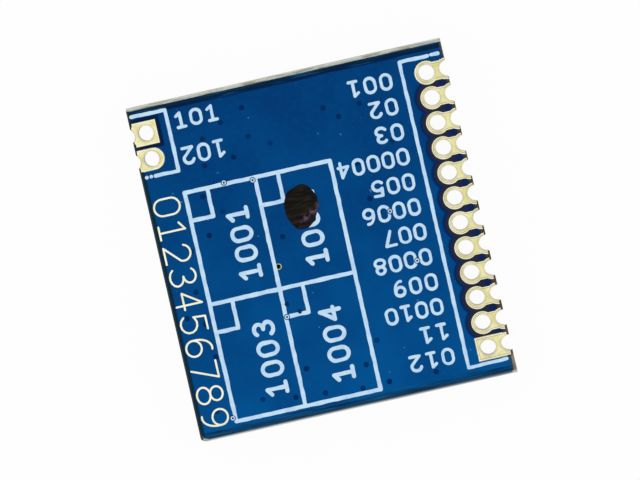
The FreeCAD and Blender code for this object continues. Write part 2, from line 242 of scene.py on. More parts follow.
def land_loops(grow):
    """Outlines that together bound all lands, grown by that much."""
    r, edge = land_half + grow, routed_x + grow
    loops = [rectangle(pin_x - r, edge, rows[0] - r, rows[0] + r)]
    for y in rows[1:]:
        loops.append(circle(pin_x, y, r))
        loops.append(circle(half_hole_x, y, edge_land_radius + grow))
        loops.append(rectangle(pin_x, edge, y - neck_half - grow, y + neck_half + grow))
    for y in (signal_y, ground_y):
        loops.append(circle(antenna_edge_x, y, edge_land_radius + grow))
    r = signal_half + grow
    loops.append(rectangle(antenna_x - r, antenna_x + r, signal_y - r, signal_y + r))
    r = ground_half + grow
    loops.append(rectangle(antenna_x - ground_start - grow, ground_round, ground_y - r, ground_y + r))
    loops.append(circle(ground_round, ground_y, r))
    return loops


def hole_loops(grow):
    places = [(x, y) for y in rows for x in (pin_x, half_hole_x)]
    places += [(x, y) for y in (signal_y, ground_y) for x in (antenna_x, antenna_edge_x)]
    return [circle(x, y, hole_radius + grow) for x, y in places]


def film(name, finish, groups, shown, bottom, top):
    """A thin layer between two heights, where shown agrees to the groups of outlines round a spot.

    Its outer edges go down to the bottom; its underside, which lies on another piece, is left off.
    """
    points, loops, owners = [], [], []
    for group, outlines in groups.items():
        for line in outlines:
            loops.append(range(len(points), len(points) + len(line)))
            owners.append(group)
            points += line
    cut = geometry.delaunay_2d_cdt([Vector(p) for p in points], [], loops, 0, 1e-6, True)
    spots, triangles, around = cut[0], cut[2], cut[5]
    corners = [triangle for triangle, own in zip(triangles, around) if shown({owners[i] for i in own})]
    used, corners = np.unique(np.array(corners), return_inverse=True)
    corners = corners.reshape(-1, 3)
    spots = np.array(spots)[used]
    height = top(spots) if callable(top) else np.full(len(spots), top)
    if height[0] < bottom:
        corners = corners[:, ::-1]
    upper = np.column_stack([spots, height])
    lower = np.column_stack([spots, np.full(len(spots), bottom)])
    sides = {}
    for a, b, c in corners.tolist():
        for edge in ((a, b), (b, c), (c, a)):
            if sides.pop(edge[::-1], None) is None:
                sides[edge] = True
    ends = sorted({corner for edge in sides for corner in edge})
    foot = {corner: len(spots) + i for i, corner in enumerate(ends)}
    skirt = [(a, foot[a], foot[b], b) for a, b in sides]
    mesh = bpy.data.meshes.new(name)
    mesh.from_pydata((np.vstack([upper, lower[ends]]) / 1000).tolist(), [], corners.tolist() + skirt)
    mesh.materials.append(finish.look)
    piece = bpy.data.objects.new(name, mesh)
    bpy.context.scene.collection.objects.link(piece)
    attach(piece, "root")
    return piece


# The bead's gold is lighter than the lands' as a painted highlight of the rounded rim.
bead_gold_painted_highlight = Finish("bead_gold_painted_highlight", Metallic=1.0, Roughness=0.28)
bead_gold_painted_highlight.feed(Base_Color=bead_gold_painted_highlight.grain(2.0).shades(tint(236, 236, 198), tint(248, 247, 224)))
pad_top = 1000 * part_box("pin_pad_02")[1].z
land_groups = {
    "board": [rectangle(left_edge, routed_x, -board_end, board_end)],
    "row": [rectangle(0, 8.5, -8, 8)],
    "land": land_loops(0),
    "middle": land_loops(-0.045),
    "core": land_loops(-0.075),
    "hole": hole_loops(0),
    "lip": hole_loops(0.012),
    "collar": hole_loops(0.035),
    "margin": hole_loops(0.055),
}


def on_bead(around):
    edge = "land" in around and "middle" not in around
    return "board" in around and "lip" not in around and (edge or "collar" in around)


def beside_bead(around):
    by_hole = "margin" in around and "collar" not in around or "lip" in around
    by_edge = "row" in around and "middle" in around and "core" not in around and "collar" not in around
    return "board" in around and "land" in around and "hole" not in around and (by_hole or by_edge)


beads = film("plating_beads", bead_gold_painted_highlight, land_groups, on_bead, pad_top, pad_top + bead_height)
# Painted shade: a thin darker gold line beside each bead stands in for the shadow of the groove there.
painted_shade_gold = Finish("painted_shade_gold", Metallic=1.0, Roughness=0.5)
painted_shade_gold.feed(Base_Color=painted_shade_gold.grain(2.0).shades(tint(164, 151, 106), tint(192, 179, 130)))
painted_shade_lines = film("plating_painted_shade", painted_shade_gold, land_groups, beside_bead, pad_top, pad_top + line_height)


# Lacquer film on the solder side. Blue lacquer covers the foil and dips where there is none: at the
# board's border, round the pin lands and over the small filled holes. It is open over the lands and in
# the strokes of the number that runs up the side, where the plated foil shows.

film_thickness, foil_step, slope = 0.055, 0.0185, 0.06
film_top, film_bottom = face + film_thickness, other_face - film_thickness
film_right, film_foot = 7.89, -8.37
run_length, ripples = 0.2, 2.4


def board_point(x, y):
    """From the pin row's own measure, y down the row, to the frame."""
    return (x + pin_x, -y)


def arc(x, y, across, along, start, end, count=10):
    """Points on an arc, angles in degrees from +x towards +y."""
    turns = [math.radians(start + (end - start) * i / count) for i in range(count + 1)]
    return [(x + across * math.cos(t), y + along * math.sin(t)) for t in turns]


numerals = {
    "0": [arc(0.5, 0.68, 0.5, 0.32, 180, 0, 12) + arc(0.5, 0.32, 0.5, 0.32, 0, -180, 12) + [(0, 0.68)]],
    "1": [[(0.12, 0.8), (0.55, 1.0), (0.55, 0.0)], [(0.15, 0.0), (0.95, 0.0)]],
    "2": [arc(0.5, 0.7, 0.48, 0.3, 165, -25) + [(0.02, 0.0)], [(0.02, 0.0), (1.0, 0.0)]],
    "3": [arc(0.46, 0.76, 0.44, 0.24, 150, -90), arc(0.46, 0.26, 0.52, 0.26, 90, -155)],
    "4": [[(0.74, 0.0), (0.74, 1.0), (0.0, 0.3)], [(0.0, 0.3), (1.0, 0.3)]],
    "5": [[(0.92, 1.0), (0.14, 1.0), (0.08, 0.54)],
          [(0.08, 0.54)] + arc(0.46, 0.32, 0.52, 0.32, 125, -150)],
    "6": [arc(0.5, 0.3, 0.48, 0.3, 0, 360, 20), [(0.02, 0.3)] + arc(0.62, 0.42, 0.6, 0.58, 175, 80)],
    "7": [[(0.0, 1.0), (1.0, 1.0)], [(1.0, 1.0), (0.36, 0.0)]],
    "8": [arc(0.5, 0.76, 0.42, 0.24, 0, 360, 20), arc(0.5, 0.26, 0.5, 0.26, 0, 360, 20)],
    "9": [arc(0.5, 0.7, 0.48, 0.3, 0, 360, 20), [(0.98, 0.7)] + arc(0.38, 0.58, 0.6, 0.58, -5, -100)],
}


def written(number, start, turn, height, length, stroke, width):
    """Strokes of a number whose box starts at a corner, turned by degrees, with the given outer sizes."""
    step = (length - width) / max(len(number) - 1, 1)
    c, s = math.cos(math.radians(turn)), math.sin(math.radians(turn))
    strokes = []
    for i, numeral in enumerate(number):
        for line in numerals[numeral]:
            flat = [(i * step + stroke / 2 + u * (width - stroke), stroke / 2 + v * (height - stroke))
                    for u, v in line]
            strokes.append([(start[0] + u * c - v * s, start[1] + u * s + v * c) for u, v in flat])
    return strokes


def stroke_loops(strokes, half, wobble=0.0):
    """Outlines of strokes with round ends, made of short runs; wobble makes them uneven."""
    loops = []
    for line in strokes:
        fine = [line[0]]
        for a, b in zip(line, line[1:]):
            runs = max(1, round(math.dist(a, b) / run_length)) if wobble else 1
            fine += [(a[0] + (b[0] - a[0]) * i / runs, a[1] + (b[1] - a[1]) * i / runs)
                     for i in range(1, runs + 1)]
        uneven = []
        for x, y in fine:
            shift = [wobble * noise.noise(Vector((x * ripples, y * ripples, z))) for z in (1.0, 2.0, 3.0)]
            uneven.append((x + shift[0], y + shift[1], half + shift[2]))
        for a, b in zip(uneven, uneven[1:]):
            ahead = math.atan2(b[1] - a[1], b[0] - a[0])
            loop = []
            for (x, y, reach), start in ((a, 90), (b, -90)):
                turns = [ahead + math.radians(start + 30 * i) for i in range(7)]
                loop += [(x + reach * math.cos(t), y + reach * math.sin(t)) for t in turns]
            loops.append(loop)
    return loops


def from_strokes(points, strokes):
    """How far points lie from the middle of the nearest stroke."""
    best = np.full(len(points), 1e9)
    for line in strokes:
        for a, b in zip(line, line[1:]):
            a, b = np.array(a), np.array(b)
            run = b - a
            share = np.clip((points - a) @ run / max(run @ run, 1e-12), 0, 1)
            best = np.minimum(best, np.hypot(*(points - a - share[:, None] * run).T))
    return best


side_half = 0.048
side_number = written("0123456789", board_point(-14.71, -3.80), turn=-90, height=1.39, length=11.7,
                      stroke=2 * side_half, width=0.93)
vias = [board_point(x, y) for x, y in (
    (-9.30, -7.32), (-10.49, -6.83), (-11.54, -6.22), (-9.30, -5.86), (-10.23, -5.02), (-8.32, -5.28),
    (-11.73, -4.91), (-5.38, -6.41), (-3.57, -6.24), (-4.71, -5.83), (-10.99, -3.89), (-9.57, -3.69),
    (-12.16, -3.44), (-11.36, -2.50), (-12.27, -1.49), (-8.74, -0.63), (-13.32, -0.91), (-13.54, 1.12),
    (-14.27, 2.31), (-13.43, 2.76), (-9.30, 2.68), (-9.41, 3.31), (-8.73, 3.20), (-11.49, 7.06),
    (-9.86, 7.31), (-9.04, 6.03), (-8.38, 7.42), (-6.51, 7.59), (-5.16, 7.56), (-2.79, 7.59),
    (-5.32, 5.42), (-6.10, 6.48), (-13.16, 7.64), (-13.86, 7.14), (-13.30, 4.48), (-2.38, -4.08),
    (-2.49, 2.00), (-4.32, -3.36), (-4.10, -1.52), (-3.27, -0.69))]
dip_radii, dip_shares = [0.0, 0.05, 0.09, 0.13, 0.18], [0.42, 0.62, 0.95, 0.5, 0.0]
dip_depth, dip_spread = 0.0135, 0.006
open_via, open_via_radius = board_point(-9.27, 0.78), 0.16
foil = (-7.83, 7.95, -8.45, 8.04)
pin_gap = (6.9, 8.2, -6.6, 6.6)
ring_radius, ring_slope = 0.85, 0.11


def signal_gap(half):
    """The rectangle where the foil keeps clear of the antenna's signal land."""
    return (-8.2, antenna_x + half, signal_y - half, signal_y + half)


def from_rectangle(points, x0, x1, y0, y1):
    """How far points lie outside a rectangle, or inside it as less than 0."""
    across = np.abs(points[:, 0] - (x0 + x1) / 2) - (x1 - x0) / 2
    along = np.abs(points[:, 1] - (y0 + y1) / 2) - (y1 - y0) / 2
    outside = np.hypot(np.maximum(across, 0), np.maximum(along, 0))
    return outside + np.minimum(np.maximum(across, along), 0)


def sunk_by(points, zones):
    """How deep the film dips past the foil's border, in the zones, round the lands and over filled holes."""
    gaps = np.min([from_rectangle(points, *zone) for zone in zones], axis=0)
    etched = np.clip((np.maximum(from_rectangle(points, *foil), -gaps) + slope) / (2 * slope), 0, 1)
    from_holes = np.min([np.hypot(points[:, 0] - pin_x, points[:, 1] - y) for y in rows[1:-1]], axis=0)
    ringed = np.clip((ring_slope - (from_holes - ring_radius)) / (2 * ring_slope), 0, 1)
    sunk = foil_step * np.maximum(etched, ringed)
    for x, y in vias:
        reach = np.hypot(points[:, 0] - x, points[:, 1] - y)
        depth = dip_depth + dip_spread * noise.noise(Vector((x, y, 1.0)))
        sunk = np.maximum(sunk, depth * np.interp(reach, dip_radii, dip_shares))
    return sunk


back_zones = (pin_gap, signal_gap(0.79))


def back_height(points):
    return film_top - sunk_by(points, back_zones)


def grown(box, by):
    return rectangle(box[0] - by, box[1] + by, box[2] - by, box[3] + by)


def lacquered(around):
    return "film" in around and "open" not in around


lacquer = Finish("blue_lacquer", Roughness=0.35, Specular_IOR_Level=0.02, Coat_Roughness=0.12)
at_x, at_y, at_z = lacquer.axes()
patch = lacquer.grain(0.42)
mottle = lacquer.grain(3.2, detail=4.0)
lower = 0.5 - 0.06 * at_y
colour = patch.shades(lacquer.blend(lower, tint(0, 58, 117), tint(0, 75, 139)),
                      lacquer.blend(lower, tint(0, 65, 126), tint(0, 86, 152)))
colour = lacquer.blend(mottle.rise(0.45, 0.8) * 0.4, colour, tint(0, 80, 134))
flecks = lacquer.grain(6.0, detail=0.0).rise(0.885, 0.9)
colour = lacquer.blend(flecks * 0.4, colour, tint(96, 160, 200))

under_top = (film_top - at_z).least(at_z - film_bottom)
colour = lacquer.blend(under_top.rise(0.001, 0.0125), colour, tint(0, 40, 92))
in_pitch = lacquer.node("Math", {"operation": "FRACT"}, {0: at_y * (1 / pin_pitch)})
off_row = abs(in_pitch - 0.5) * pin_pitch
from_pin = lacquer.node("CombineXYZ", {}, {0: at_x - pin_x, 1: off_row})
from_pin = lacquer.node("VectorMath", {"operation": "LENGTH"}, {0: from_pin}, "Value")
over_laminate = lacquer.blend(from_pin.rise(0.6, 0.86), tint(42, 44, 62), tint(16, 37, 86))
over_laminate = lacquer.blend(at_x.rise(7.72, 7.86), over_laminate, tint(76, 66, 54))
over_laminate = lacquer.blend(at_x.rise(5.8, 5.7), over_laminate, tint(2, 30, 68))
colour = lacquer.blend(under_top.rise(0.0125, 0.0175), colour, over_laminate)

foot_border = lacquer.blend(at_y.rise(-8.2, -8.36), tint(10, 67, 112), tint(26, 60, 88))
colour = lacquer.blend(at_y.rise(-8.07, -8.13), colour, foot_border)
head_border = lacquer.blend(at_y.rise(8.15, 8.33), tint(0, 36, 75), tint(14, 44, 66))
colour = lacquer.blend(at_y.rise(8.02, 8.1), colour, head_border)
streak = lacquer.grain(1.0, (0.5, 14, 1))
near_edge = abs(at_y).rise(7.98, 8.06)
colour = lacquer.blend(near_edge * streak.rise(0.52, 0.62) * 0.7, colour, tint(4, 28, 56))
colour = lacquer.blend(near_edge * streak.rise(0.44, 0.36) * 0.55, colour, tint(24, 92, 142))
worn = lacquer.blend(at_x.rise(7.77, 7.87), tint(24, 58, 98), tint(64, 68, 70))
colour = lacquer.blend(at_x.rise(7.76, 7.84) * abs(at_y).rise(6.7, 6.8), colour, worn)
colour = lacquer.blend(at_x.rise(-7.78, -7.86), colour, tint(14, 44, 62))
grazing = lacquer.node("LayerWeight", {}, {"Blend": 0.5}, "Facing")
lacquer.feed(Base_Color=colour, Coat_Weight=grazing.rise(0.25, 0.8) * 0.55)
lacquer.relief(mottle, 0.006)

round_corner = arc(left_edge + 0.32, -7.98, 0.32, 0.39, 180, 270, 8)
open_hole = circle(*open_via, open_via_radius, 24)
back_groups = {
    "film": [round_corner + rectangle(left_edge, film_right, film_foot, 8.345)[1:]],
    "open": land_loops(0.03) + [open_hole] + stroke_loops(side_number, side_half),
    "step": [grown(zone, by) for zone in (foil, *back_zones) for by in (-slope, slope)],
    "ring": [circle(pin_x, y, ring_radius + by, 40)
             for y in rows[1:-1] for by in (-ring_slope, 0, ring_slope)],
    "dip": [circle(x, y, r, 14) for x, y in vias for r in reversed(dip_radii[1:])],
}
lacquer_back = film("lacquer_film", lacquer, back_groups, lacquered, face, back_height)
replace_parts(lacquer_back, "solder_mask_back")


# Plating in the film's openings. The foil is plated where the lacquer leaves it bare: in the strokes of
# the number up the side, and round one hole beside the table that stayed open. The hole's dark inside is
# painted shade, a near-black disc laid over it.

foil_top = face + 0.035
bore_height, rim_height, below_film = 0.003, 0.002, 0.004
# A near-black disc over the open hole: painted shade of its inside.
bore_painted_shade = Finish("open_hole", Roughness=0.8, Specular_IOR_Level=0.03)
bore_painted_shade.feed(Base_Color=bore_painted_shade.blend(bore_painted_shade.grain(9.0), tint(6, 10, 4), tint(22, 26, 12)))
bore_groups = {"bore": [circle(*open_via, 0.115, 24)]}
bore = film("open_via_painted_shade", bore_painted_shade, bore_groups, bool, foil_top, foil_top + bore_height)
worn_gold = Finish("worn_gold", Metallic=1.0, Roughness=0.5)
worn_gold.feed(Base_Color=worn_gold.grain(5.0).shades(tint(166, 168, 91), tint(219, 219, 153)))
rim = film("open_via_rim", worn_gold, {"rim": [open_hole]}, bool, foil_top, foil_top + rim_height)
stroke_groups = {"stroke": stroke_loops(side_number, side_half)}
# The strokes take the same lighter gold, as painted light against the shade of their recess in the film.
plated = film("side_number_plating", bead_gold_painted_highlight, stroke_groups, bool, foil_top, film_top - below_film)


# Lacquer film on the component side. The same film over the other foil, open over the lands that the
# parts are soldered to, and dipped where the foil is cleared round each part and beside the tracks.

small_parts = {"inductor": 6, "capacitor": 13, "resistor": 1}
two_ended = ["%s_%02d" % (kind, i + 1) for kind, count in small_parts.items() for i in range(count)]
large_width, large_end, small_end = 0.7, (0.35, 0.33), (0.22, 0.27)
inner_gap, toe_gap, foil_gap, foil_side_gap = 0.06, 0.03, 0.2, 0.23
chip_inner, chip_toe, chip_side_half, heat_pad_half, chip_clearing = 0.46, 0.23, 0.94, 0.85, 0.4
crystal_inner, crystal_toe, crystal_land_y, crystal_land_half, crystal_clearing = 1.01, 0.28, 0.75, 0.36, 0.45
pin_window, antenna_window = 0.595, 0.56
windows, clearings = [], []


def window(centre, turn, x0, x1, half, y=0.0):
    """A rectangle in a part's own measure, as it lies on the board after some quarter turns."""
    c, s = (1, 0, -1, 0)[turn], (0, 1, 0, -1)[turn]
    corners = rectangle(x0, x1, y - half, y + half)
    return [(centre[0] + u * c - v * s, centre[1] + u * s + v * c) for u, v in corners]


def footprint(node):
    low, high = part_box(node)
    centre = (500 * (low.x + high.x), 500 * (low.y + high.y))
    return centre, 1000 * (high.x - low.x), 1000 * (high.y - low.y)


for node in two_ended:
    centre, wide, high = footprint(node)
    turn, length, width = (0, wide, high) if wide > high else (1, high, wide)
    cap, toe = large_end if width > large_width else small_end
    for side in (turn, turn + 2):
        inner, outer = length / 2 - cap - inner_gap, length / 2 + toe + toe_gap
        windows.append(window(centre, side, inner, outer, width / 2 + inner_gap))
    reach = length / 2 + toe + foil_gap
    clearings.append(window(centre, turn, -reach, reach, width / 2 + foil_side_gap))
centre, chip_width, _ = footprint("rf_chip_body")
for side in range(4):
    inner, outer = chip_width / 2 - chip_inner, chip_width / 2 + chip_toe
    windows.append(window(centre, side, inner, outer, chip_side_half))
windows.append(window(centre, 0, -heat_pad_half, heat_pad_half, heat_pad_half))
reach = chip_width / 2 + chip_clearing
clearings.append(window(centre, 0, -reach, reach, reach))
centre, wide, high = footprint("crystal_base")
for side in (0, 2):
    for y in (crystal_land_y, -crystal_land_y):
        inner, outer = wide / 2 - crystal_inner, wide / 2 + crystal_toe
        windows.append(window(centre, side, inner, outer, crystal_land_half, y))
reach = wide / 2 + crystal_clearing
clearings.append(window(centre, 0, -reach, reach, high / 2))
windows += [rectangle(pin_x - pin_window, routed_x + toe_gap, y - pin_window, y + pin_window) for y in rows]
windows += [rectangle(left_edge - toe_gap, antenna_x + antenna_window, y - antenna_window, y + antenna_window)
            for y in (signal_y, ground_y)]
front_zones = []
for clearing in clearings:
    (x0, y0), (x1, y1) = min(clearing), max(clearing)
    front_zones.append((x0, x1, y0, y1))
front_zones += [pin_gap, signal_gap(0.73)]

tracks = [
    [(-0.7, 0.65), (-1.2, 0.65), (-1.45, 0.4), (-1.85, 0.4)],
    [(-0.7, 1.15), (-1.1, 1.15), (-1.5, 1.6), (-1.9, 1.6)],
    [(-0.7, -0.35), (-1.2, -0.35), (-1.6, -0.8), (-2.3, -0.8)], [(-1.9, 1.6), (-1.9, 3.6), (-2.25, 4.0)],
    [(-3.8, 0.4), (-3.8, 1.6)], [(-3.8, 2.8), (-3.8, 3.6), (-3.45, 4.0)],
    [(-3.8, 1.0), (-4.5, 1.0), (-4.8, 0.7), (-5.31, 0.7)], [(-5.31, -0.2), (-5.31, 0.5)],
    [(-5.31, 2.3), (-5.31, 3.3)], [(-6.88, 2.0), (-6.2, 2.3), (-5.31, 2.3)],
    [(-6.88, 4.7), (-6.3, 5.0), (-5.31, 5.0)], [(-5.31, 5.0), (-4.9, 5.3), (-4.43, 5.75), (-4.43, 6.1)],
    [(-6.0, 6.1), (-6.4, 6.5), (-6.8, 7.13)], [(-7.0, 7.13), (-6.1, 7.13)],
    [(2.45, 0.65), (3.0, 0.65), (3.3, 0.9), (3.75, 0.9)],
    [(2.45, 0.15), (3.1, 0.15), (3.3, -0.06), (3.75, -0.06)],
    [(2.45, 1.15), (2.9, 1.6), (3.75, 1.75)],
    [(2.45, -0.35), (2.85, -0.75), (2.85, -1.4), (3.07, -1.62), (5.8, -1.62), (6.1, -1.905), (6.5, -1.905)],
    [(3.75, 1.9), (5.17, 1.9)], [(3.75, 1.9), (3.75, 2.9)], [(3.75, -1.1), (5.17, -1.1)],
    [(0.63, 2.0), (0.37, 2.4), (0.37, 2.75)], [(1.13, 2.0), (1.4, 2.4), (1.4, 2.75)],
    [(1.63, 2.0), (1.63, 2.3), (2.0, 2.7), (2.0, 4.2), (2.4, 4.6), (4.5, 4.6), (5.6, 5.715), (6.5, 5.715)],
    [(0.13, -1.2), (0.13, -1.6), (-0.3, -2.0)], [(1.63, -1.2), (1.63, -1.6), (2.1, -2.0)],
    [(-1.62, -2.4), (-0.8, -2.2)], [(3.38, -2.4), (2.6, -2.2)],
    [(5.17, -0.3), (5.75, -0.3), (6.1, -0.635), (6.5, -0.635)],
    [(5.17, 0.9), (5.8, 0.9), (6.1, 0.635), (6.5, 0.635)],
    [(5.23, 2.94), (5.9, 2.94), (6.1, 3.175), (6.5, 3.175)],
]
track_half, track_foot, moat_start, moat_end = 0.08, 0.12, 0.2, 0.25


def front_height(points):
    reach = from_strokes(points, tracks)
    moat = np.interp(reach, [moat_start, moat_end], [foil_step, 0.0])
    off_track = np.interp(reach, [track_half, track_foot], [0.0, foil_step])
    return film_bottom + np.minimum(np.maximum(sunk_by(points, front_zones), moat), off_track)


front_groups = {
    "film": [rectangle(left_edge, film_right, film_foot, 8.37)],
    "open": windows,
    "ring": back_groups["ring"],
    "dip": back_groups["dip"],
    "track": [loop for half in (track_half, track_foot, moat_start, moat_end)
              for loop in stroke_loops(tracks, half)],
    "step": [grown(zone, by) for zone in [foil] + front_zones for by in (-slope, slope)],
}
lacquer_front = film("component_side_lacquer", lacquer, front_groups, lacquered, other_face, front_height)
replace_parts(lacquer_front, "solder_mask_front")


# White print. Screen-printed epoxy ink: frames round the pin row and the antenna pads, a table of four
# bands and plain numbers. Its lines have round ends, and it breaks where it crosses a filled hole.

print_top = film_top + 0.014
ring_mark = {"gap": 0.155, "ring": 0.11, "spot": 0.055}
nick_radius, crossed, beside = 0.1, 0.06, 0.09
nicked_only = [board_point(-9.30, 2.68), board_point(-8.73, 3.20)]
frame_half, table_half, small_half, tall_half = 0.09, 0.1, 0.075, 0.1

ink = Finish("white_print", Roughness=0.55, Specular_IOR_Level=0.3)
thin = ink.grain(2.4, detail=4.0)
colour = ink.blend(thin.rise(0.35, 0.7), tint(206, 236, 254), tint(188, 221, 251))
colour = ink.blend(ink.grain(11.0).rise(0.58, 0.78) * 0.5, colour, tint(158, 197, 238))
ink.feed(Base_Color=colour)
ink.relief(thin, 0.004)


def printed(around):
    return ("stroke" in around and "gap" not in around) or ("ring" in around and "spot" not in around)


def print_film(name, strokes, half, wobble=0.022):
    """Print along strokes, with a ring on each filled hole that they cross and a nick at one beside them."""
    groups = {"stroke": stroke_loops(strokes, half, wobble), "gap": [], "ring": [], "spot": []}
    for x, y in vias:
        off = from_strokes(np.array([(x, y)]), strokes)[0]
        if off < half + crossed and (x, y) not in nicked_only:
            for group, radius in ring_mark.items():
                groups[group].append(circle(x, y, radius, 20))
        elif off < half + beside:
            groups["gap"].append(circle(x, y, nick_radius, 16))
    piece = film(name, ink, groups, printed, film_top, print_top)
    return piece


pin_frame = [[(5.73, -7.75), (5.71, 7.79)], [(5.73, -7.75), (7.68, -7.73)], [(5.71, 7.79), (7.13, 7.79)],
             [(7.31, 7.8), (7.66, 7.8)]]
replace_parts(print_film("pin_frame_print", pin_frame, frame_half), "print_pin_frame")
antenna_frame = [[(-6.14, 4.95), (-6.15, 8.05)], [(-6.15, 8.05), (-7.86, 8.06)],
                 [(-6.14, 4.95), (-7.3, 4.97)], [(-7.53, 4.97), (-7.54, 4.97)],
                 [(-7.76, 4.97), (-7.77, 4.97)]]
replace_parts(print_film("antenna_frame_print", antenna_frame, frame_half), "print_antenna_frame")
table = [[(-6.13, -7.83), (-6.10, 3.82)], [(-2.59, -7.83), (-2.53, 3.80)], [(1.23, -7.84), (1.28, 3.80)],
         [(-6.13, -7.83), (1.23, -7.84)], [(-6.11, -1.88), (1.26, -1.86)], [(-6.10, 3.82), (1.28, 3.80)],
         [(-4.96, 3.82), (-4.97, 2.39)], [(-4.97, 2.39), (-6.10, 2.39)],
         [(-1.38, 3.80), (-1.39, 2.37)], [(-1.39, 2.37), (-2.53, 2.37)],
         [(-4.98, -1.88), (-4.99, -3.30)], [(-4.99, -3.30), (-6.11, -3.30)],
         [(-1.40, -1.87), (-1.41, -3.30)], [(-1.41, -3.30), (-2.56, -3.30)]]
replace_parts(print_film("band_table_print", table, table_half), "print_band_table")

pin_numbers = [("001", 3.99), ("02", 3.18), ("03", 3.18), ("00004", 5.38), ("005", 3.93), ("0006", 4.66),
               ("007", 3.88), ("0008", 4.66), ("009", 3.96), ("0010", 4.66), ("11", 3.18), ("012", 3.99)]
number_start, number_low = 1.73, 0.435
strokes = []
for (number, reach), y in zip(pin_numbers, reversed(rows)):
    strokes += written(number, (pin_x - number_start, y + number_low), turn=180, height=0.87,
                       length=reach - number_start, stroke=2 * small_half, width=0.64)
print_film("pin_numbers", strokes, small_half, 0.018)
strokes = written("101", board_point(-12.73, -6.97), turn=0, height=0.86, length=2.23,
                  stroke=2 * small_half, width=0.64)
strokes += written("102", board_point(-10.50, -6.06), turn=180, height=0.93, length=2.23,
                   stroke=2 * small_half, width=0.66)
print_film("antenna_numbers", strokes, small_half, 0.018)
strokes = []
for number, right, low, length in (("1001", -10.10, 1.17, 3.77), ("1002", -6.71, 1.17, 3.77),
                                   ("1003", -10.10, 7.10, 3.90), ("1004", -6.71, 7.10, 3.90)):
    strokes += written(number, board_point(right, low), turn=90, height=1.17, length=length,
                       stroke=2 * tall_half, width=0.82)
print_film("band_numbers", strokes, tall_half, 0.02)


# Ink mark. A drop of black felt-pen ink over one box of the table, thick in the middle, with a skin
# that dried in streaks. It lies over the print and the lacquer.

marker = Finish("marker_ink", Specular_IOR_Level=0.08)
at_x, at_y, _ = marker.axes()
streak = marker.grain(1.5, (0.9, 4.2, 1.0), 5.0)
up_the_slant = 0.852 * at_y - 0.524 * at_x
# A pinkish arc across the drop is a painted highlight on the glossy ink.
painted_highlight_arc = abs(up_the_slant - 1.38).rise(0.24, 0.02) * marker.grain(3.4, detail=4.0).rise(0.44, 0.7)
below = up_the_slant.rise(1.4, 1.2)
colour = marker.blend(streak.rise(0.4, 0.75), tint(4, 4, 4), tint(42, 34, 20))
colour = marker.blend(below * marker.grain(2.6).rise(0.3, 0.55), colour, tint(22, 20, 40))
colour = marker.blend(painted_highlight_arc * 0.6, colour, tint(146, 108, 130))
marker.feed(Base_Color=colour, Roughness=0.3 + 0.4 * streak)
marker.relief(streak, 0.02)

drop_edge, drop_crown, raggedness = 0.0155, 0.009, 0.03
heart = Vector((-0.60, 1.95))
marks = [board_point(x, y) for x, y in (
    (-7.26, -2.96), (-7.91, -2.80), (-8.27, -2.33), (-8.34, -1.80), (-8.22, -1.28), (-7.95, -0.86),
    (-7.54, -0.78), (-7.12, -0.96), (-6.85, -1.33), (-6.64, -1.78), (-6.68, -2.28), (-6.92, -2.75))]
outline = []
for i in range(len(marks)):
    a, b, c, d = [Vector(marks[(i + k - 1) % len(marks)]) for k in range(4)]
    for t in (0.0, 0.25, 0.5, 0.75):
        point = 0.5 * (2 * b + (c - a) * t + (2 * a - 5 * b + 4 * c - d) * t ** 2
                       + (3 * b - a - 3 * c + d) * t ** 3)
        push = raggedness * noise.noise(Vector((point.x * 3, point.y * 3, 1.0)))
        outline.append((point.x + push, point.y - push))
rings = [[tuple(heart + (Vector(p) - heart) * share) for p in outline]
         for share in (1.0, 0.96, 0.88, 0.7, 0.45, 0.2)]


def drop_height(points):
    angles = np.arctan2(points[:, 1] - heart.y, points[:, 0] - heart.x)
    around = sorted((math.atan2(y - heart.y, x - heart.x), math.dist((x, y), heart)) for x, y in outline)
    reach = np.interp(angles, [a for a, _ in around], [r for _, r in around], period=2 * math.pi)
    share = np.hypot(points[:, 0] - heart.x, points[:, 1] - heart.y) / reach
    return film_top + drop_edge + drop_crown * np.sqrt(np.clip(1 - share ** 4, 0, 1))


drop = film("ink_drop", marker, {"ring": rings}, bool, film_top, drop_height)
for polygon in drop.data.polygons:
    polygon.use_smooth = polygon.normal.z > 0.5
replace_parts(drop, "ink_mark")


# Transceiver chip. Black compound moulded over a tinned copper lead frame, with a shallow dimple at its
# first terminal. Sixteen terminals and a heat pad are soldered under the board.

def ease(width, *nodes):
    """Round the sharp edges of parts by a small radius."""
    for node in nodes:
        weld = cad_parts[node].modifiers.new("joined_edges", "WELD")
        weld.merge_threshold = 1e-7
        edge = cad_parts[node].modifiers.new("eased_edges", "BEVEL")
        edge.width = width / 1000
        edge.segments = 2
        edge.limit_method = "ANGLE"


first_terminal = (-0.21, 1.49, 0.0)
mould = Finish("chip_mould", Specular_IOR_Level=0.35)
grit = mould.grain(26.0)
reach = mould.node("VectorMath", {"operation": "DISTANCE"}, {0: mould.place(), 1: first_terminal}, "Value")
dimple = reach.rise(0.17, 0.15)
colour = mould.blend(grit.rise(0.3, 0.8), tint(30, 30, 31), tint(52, 52, 54))
mould.feed(Base_Color=mould.blend(dimple, colour, tint(66, 66, 68)), Roughness=0.66 - 0.3 * dimple)
mould.relief(grit, 0.006)
dress(mould, "rf_chip_body")
ease(0.02, "rf_chip_body")
tin = Finish("matt_tin", Metallic=1.0)
bloom = tin.grain(6.0, detail=4.0)
tin.feed(Base_Color=bloom.shades(tint(186, 186, 184), tint(214, 214, 212)), Roughness=0.4 + 0.2 * bloom)
dress(tin, "rf_chip_leadframe")


# Reference crystal. A base of dark fired ceramic with cut corners, soldered under the board by four
# lands. A flat lid of rolled nickel alloy closes it.

